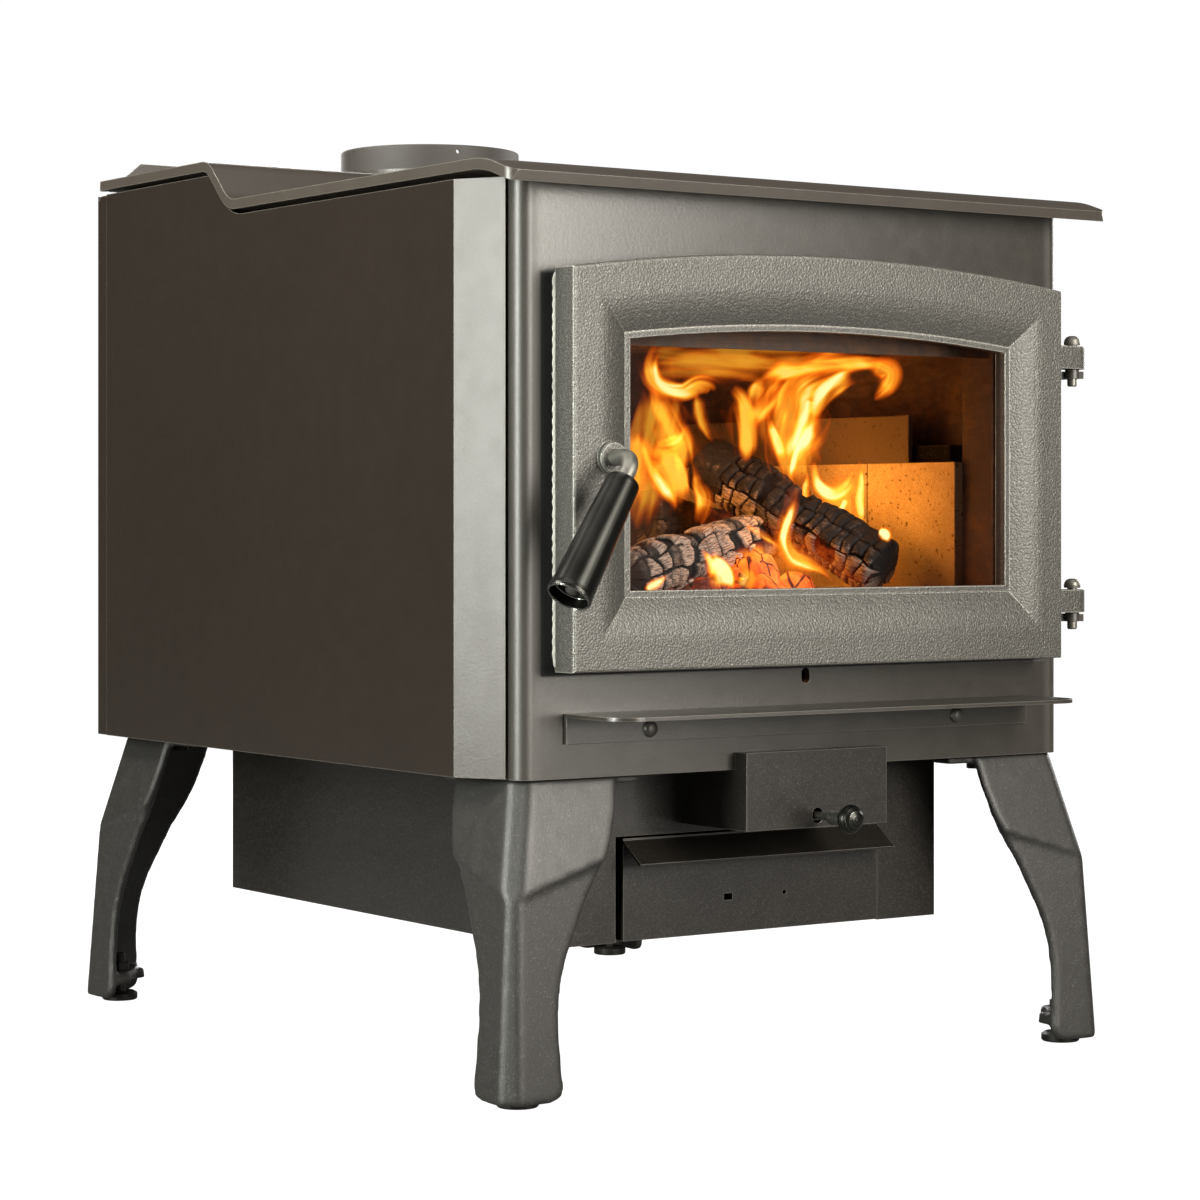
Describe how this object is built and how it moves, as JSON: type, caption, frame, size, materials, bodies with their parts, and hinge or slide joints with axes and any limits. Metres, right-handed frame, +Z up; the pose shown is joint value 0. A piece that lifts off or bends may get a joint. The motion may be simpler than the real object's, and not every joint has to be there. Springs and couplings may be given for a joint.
{
  "type": "wood-burning stove",
  "caption": "Free-standing plate-steel wood stove on cast legs, with an arched glass door, stepped top plate, flue collar, ash drawer and sliding air control.",
  "frame": {"origin": "on the floor, under the middle of the bounding box", "axes": "+X to the right seen from the front, +Y towards the back, +Z up along the flue"},
  "size_m": [0.5824, 0.7732, 0.76],
  "materials": {
    "top_paint": "satin high-temperature stove paint",
    "body_paint": "metallic charcoal stove paint",
    "shield_paint": "satin high-temperature stove paint",
    "inner_steel": "heat-browned plate",
    "ash_paint": "satin stove paint",
    "door_cast": "painted casting with a fine leather grain",
    "leg_cast": "painted sand casting",
    "grate_cast": "bare casting",
    "rope": "braided glass-fibre rope",
    "door_glass": "clear ceramic glass",
    "firebrick": "refractory brick, smoke-stained",
    "board": "refractory board",
    "grip_metal": "polished black nickel",
    "rod_steel": "dark oiled steel",
    "fastener": "zinc-plated, darkened"
  },
  "bodies": {
    "stove": {"top_plate": "top_paint", "flue_collar": "top_paint", "front_plate": "body_paint", "firebox": "inner_steel", "base_plate": "inner_steel", "side_shield_left": "shield_paint", "side_shield_right": "shield_paint", "shield_spacers": "shield_paint", "rear_shield": "shield_paint", "ash_lip": "body_paint", "lip_screws": "fastener", "air_box": "ash_paint", "ash_housing": "ash_paint", "drawer_guides": "inner_steel", "ash_grate": "grate_cast", "floor_bricks": "firebrick", "side_bricks": "firebrick", "back_bricks": "firebrick", "upper_bricks": "firebrick", "brick_rails": "grate_cast", "air_wash": "inner_steel", "air_tubes": "inner_steel", "baffle": "board", "hinge_brackets": "body_paint", "hinge_pins": "rod_steel", "leg_front_left": "leg_cast", "leg_front_right": "leg_cast", "leg_rear_left": "leg_cast", "leg_rear_right": "leg_cast", "leg_bolts": "fastener"},
    "door": {"door_frame": "door_cast", "door_gasket": "rope", "door_glass": "door_glass", "glass_tape": "rope", "glass_retainer": "inner_steel"},
    "handle": {"handle_rod": "rod_steel", "handle_grip": "grip_metal", "handle_screw": "fastener", "latch_cam": "grate_cast"},
    "air_control": {"air_slide": "inner_steel", "air_rod": "rod_steel", "air_knob": "grip_metal"},
    "drawer": {"ash_drawer": "ash_paint"},
    "foot_front_left": {"foot_front_left": "fastener"},
    "foot_front_right": {"foot_front_right": "fastener"},
    "foot_rear_left": {"foot_rear_left": "fastener"},
    "foot_rear_right": {"foot_rear_right": "fastener"}
  },
  "joints": [
    {"name": "door_hinge", "type": "hinge", "parent": "stove", "child": "door", "pos_m": [0.267, -0.29858, 0.46], "axis": [0, 0, 1], "range_deg": [0, 115]},
    {"name": "handle_turn", "type": "hinge", "parent": "door", "child": "handle", "pos_m": [-0.2055, -0.31858, 0.4715], "axis": [0, 1, 0], "range_deg": [0, 80]},
    {"name": "air_control_slide", "type": "slide", "parent": "stove", "child": "air_control", "axis": [0, -1, 0], "range_m": [0, 0.024]},
    {"name": "drawer_slide", "type": "slide", "parent": "stove", "child": "drawer", "axis": [0, -1, 0], "range_m": [0, 0.36]},
    {"name": "foot_front_left_turn", "type": "hinge", "parent": "stove", "child": "foot_front_left", "pos_m": [-0.2655, -0.28608, 0.003], "axis": [0, 0, 1], "continuous": true},
    {"name": "foot_front_right_turn", "type": "hinge", "parent": "stove", "child": "foot_front_right", "pos_m": [0.2655, -0.28608, 0.003], "axis": [0, 0, 1], "continuous": true},
    {"name": "foot_rear_left_turn", "type": "hinge", "parent": "stove", "child": "foot_rear_left", "pos_m": [-0.2655, 0.36092, 0.003], "axis": [0, 0, 1], "continuous": true},
    {"name": "foot_rear_right_turn", "type": "hinge", "parent": "stove", "child": "foot_rear_right", "pos_m": [0.2655, 0.36092, 0.003], "axis": [0, 0, 1], "continuous": true}
  ]
}
